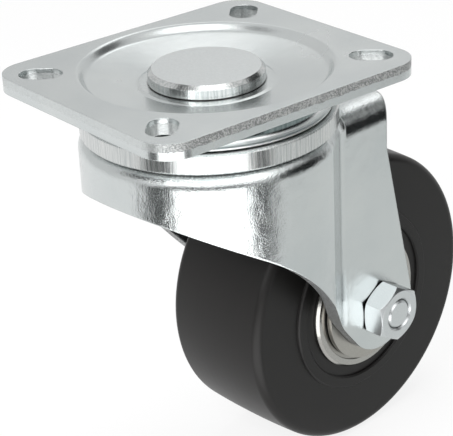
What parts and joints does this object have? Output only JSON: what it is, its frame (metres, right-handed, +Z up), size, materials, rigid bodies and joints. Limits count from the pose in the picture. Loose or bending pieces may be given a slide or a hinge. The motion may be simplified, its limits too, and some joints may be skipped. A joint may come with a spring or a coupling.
{
  "type": "swivel castor",
  "caption": "Plate-mounted swivel castor: pressed zinc-plated fork turning on a ball-race head, with a solid black plastic wheel on ball bearings and a bolted axle.",
  "frame": {"origin": "centre of the plate's top face, on the swivel axis", "axes": "+Z up, out of the plate's top face; +X along the plate's length, the way the wheel trails; Y across the plate"},
  "size_m": [0.1478, 0.086, 0.1423],
  "materials": {
    "zinc_plated_steel": "bright zinc plating",
    "turned_steel": "fine turned, plated",
    "bearing_steel": "ground and polished",
    "shield_steel": "pressed sheet, satin",
    "cage_steel": "pressed sheet",
    "black_polyamide": "satin moulded"
  },
  "bodies": {
    "head": {"top_plate": "zinc_plated_steel", "kingpin": "turned_steel", "upper_race": "turned_steel", "lower_race": "turned_steel"},
    "fork_assembly": {"fork": "zinc_plated_steel", "race_ring": "turned_steel", "near_inner_ring": "bearing_steel", "far_inner_ring": "bearing_steel", "axle_tube": "turned_steel", "spacer_sleeve": "turned_steel", "near_washer": "turned_steel", "far_washer": "turned_steel", "axle_bolt": "zinc_plated_steel", "axle_nut": "zinc_plated_steel"},
    "wheel_assembly": {"wheel": "black_polyamide", "near_outer_ring": "bearing_steel", "far_outer_ring": "bearing_steel", "near_outside_shield": "shield_steel", "near_inside_shield": "shield_steel", "far_outside_shield": "shield_steel", "far_inside_shield": "shield_steel"},
    "upper_ball_row": {"upper_balls": "bearing_steel"},
    "lower_ball_row": {"lower_balls": "bearing_steel"},
    "near_ball_row": {"near_balls": "bearing_steel", "near_cage": "cage_steel"},
    "far_ball_row": {"far_balls": "bearing_steel", "far_cage": "cage_steel"}
  },
  "joints": [
    {"name": "swivel", "type": "hinge", "parent": "head", "child": "fork_assembly", "pos_m": [0, 0, -0.0192], "axis": [0, 0, 1], "continuous": true},
    {"name": "wheel_spin", "type": "hinge", "parent": "fork_assembly", "child": "wheel_assembly", "pos_m": [0.04686, 0.00361, -0.092], "axis": [-0.0767, 0.9971, 0], "continuous": true},
    {"name": "upper_row_orbit", "type": "hinge", "parent": "head", "child": "upper_ball_row", "pos_m": [0, 0, -0.014], "axis": [0, 0, 1], "continuous": true},
    {"name": "lower_row_orbit", "type": "hinge", "parent": "head", "child": "lower_ball_row", "pos_m": [0, 0, -0.0264], "axis": [0, 0, 1], "continuous": true},
    {"name": "near_row_orbit", "type": "hinge", "parent": "fork_assembly", "child": "near_ball_row", "pos_m": [0.04686, 0.00361, -0.092], "axis": [-0.0767, 0.9971, 0], "continuous": true},
    {"name": "far_row_orbit", "type": "hinge", "parent": "fork_assembly", "child": "far_ball_row", "pos_m": [0.04686, 0.00361, -0.092], "axis": [-0.0767, 0.9971, 0], "continuous": true}
  ],
  "couplings": [
    {"joint": "upper_row_orbit", "follows": "swivel", "ratio": 0.5},
    {"joint": "lower_row_orbit", "follows": "swivel", "ratio": 0.5},
    {"joint": "near_row_orbit", "follows": "wheel_spin", "ratio": 0.6185},
    {"joint": "far_row_orbit", "follows": "wheel_spin", "ratio": 0.6185}
  ]
}
